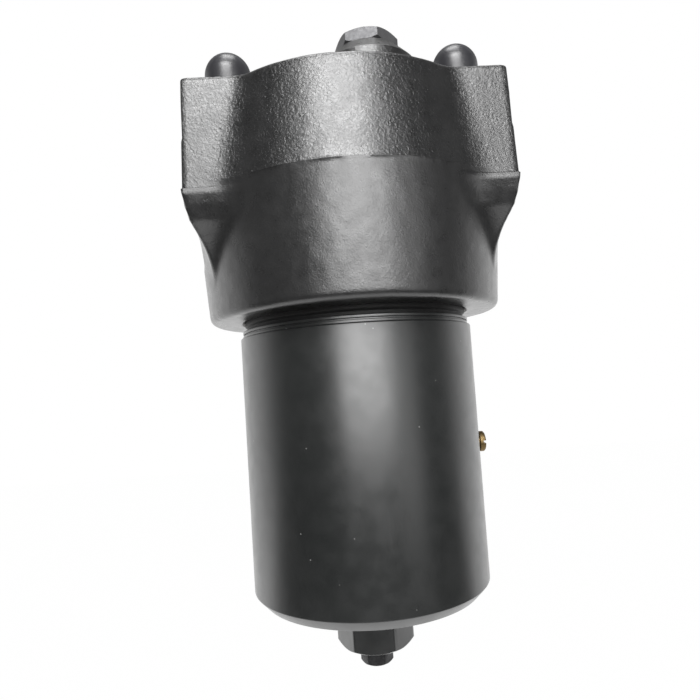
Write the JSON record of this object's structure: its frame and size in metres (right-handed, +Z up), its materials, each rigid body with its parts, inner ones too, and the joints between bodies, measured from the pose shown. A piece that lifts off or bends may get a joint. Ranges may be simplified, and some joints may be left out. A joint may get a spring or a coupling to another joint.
{
  "type": "hydraulic pressure filter",
  "caption": "Black in-line hydraulic pressure filter: a cast head with side ports and an indicator boss, and a bowl that screws up into it round a pleated element.",
  "frame": {"origin": "on the filter's axis, level with the lower end of the drain plug", "axes": "+Z up the axis towards the indicator plug, +X out of the inlet port, along the line of the two ports"},
  "size_m": [0.121, 0.125, 0.2609],
  "materials": {
    "cast_black_paint": "semi-gloss black paint over a sand-cast skin",
    "satin_black_paint": "satin black paint on turned steel",
    "blackened_steel": "blackened and oiled",
    "cap_black": "glossy moulded black",
    "brass": "turned, slightly dulled",
    "bright_steel": "plated, satin",
    "seal_rubber": "matt",
    "backup_white": "waxy white",
    "pleated_media": "pleated fibre sheet"
  },
  "bodies": {
    "head": {"filter_head": "cast_black_paint", "bracket_hole_cap_1": "cap_black", "bracket_hole_cap_2": "cap_black", "bracket_hole_cap_3": "cap_black", "bracket_hole_cap_4": "cap_black", "element_top_cap": "bright_steel", "element_bottom_cap": "bright_steel", "element_core": "bright_steel", "element_media": "pleated_media", "element_o_ring": "seal_rubber", "bypass_cage": "bright_steel", "bypass_spring": "bright_steel"},
    "bowl_seals": {"bowl_o_ring": "seal_rubber", "bowl_backup_ring": "backup_white"},
    "bowl": {"filter_bowl": "satin_black_paint"},
    "drain_washer": {"drain_plug_washer": "bright_steel"},
    "drain_plug": {"drain_plug": "blackened_steel"},
    "bleed_washer": {"bleed_screw_washer": "brass"},
    "bleed_screw": {"bleed_screw": "brass"},
    "indicator_seal": {"indicator_plug_seal": "seal_rubber"},
    "indicator_plug": {"indicator_plug": "blackened_steel"},
    "bypass_poppet": {"bypass_poppet": "blackened_steel"}
  },
  "joints": [
    {"name": "bowl_travel", "type": "slide", "parent": "head", "child": "bowl_seals", "axis": [0, 0, -1], "range_m": [0, 0.024]},
    {"name": "bowl_turn", "type": "hinge", "parent": "bowl_seals", "child": "bowl", "pos_m": [0, 0, 0.14], "axis": [0, 0, -1], "range_deg": [0, 4320]},
    {"name": "drain_travel", "type": "slide", "parent": "bowl", "child": "drain_washer", "axis": [0, 0, -1], "range_m": [0, 0.01]},
    {"name": "drain_turn", "type": "hinge", "parent": "drain_washer", "child": "drain_plug", "pos_m": [0, 0, 0.006], "axis": [0, 0, -1], "range_deg": [0, 3600]},
    {"name": "bleed_travel", "type": "slide", "parent": "bowl", "child": "bleed_washer", "axis": [1, 0, 0], "range_m": [0, 0.006]},
    {"name": "bleed_turn", "type": "hinge", "parent": "bleed_washer", "child": "bleed_screw", "pos_m": [0.0475, 0, 0.0855], "axis": [1, 0, 0], "range_deg": [0, 2160]},
    {"name": "indicator_travel", "type": "slide", "parent": "head", "child": "indicator_seal", "axis": [0, 0, 1], "range_m": [0, 0.0105]},
    {"name": "indicator_turn", "type": "hinge", "parent": "indicator_seal", "child": "indicator_plug", "pos_m": [0.0131, 0, 0.2545], "axis": [0, 0, 1], "range_deg": [0, 2520]},
    {"name": "bypass_lift", "type": "slide", "parent": "head", "child": "bypass_poppet", "axis": [0, 0, 1], "range_m": [0, 0.005], "stiffness_N_per_m": 150, "springref_m": -0.004, "deforming": ["bypass_spring"]}
  ],
  "couplings": [
    {"joint": "bowl_turn", "follows": "bowl_travel", "rad_per_m": 3141.6},
    {"joint": "drain_turn", "follows": "drain_travel", "rad_per_m": 6283.2},
    {"joint": "bleed_turn", "follows": "bleed_travel", "rad_per_m": 6283.2},
    {"joint": "indicator_turn", "follows": "indicator_travel", "rad_per_m": 4188.8}
  ]
}
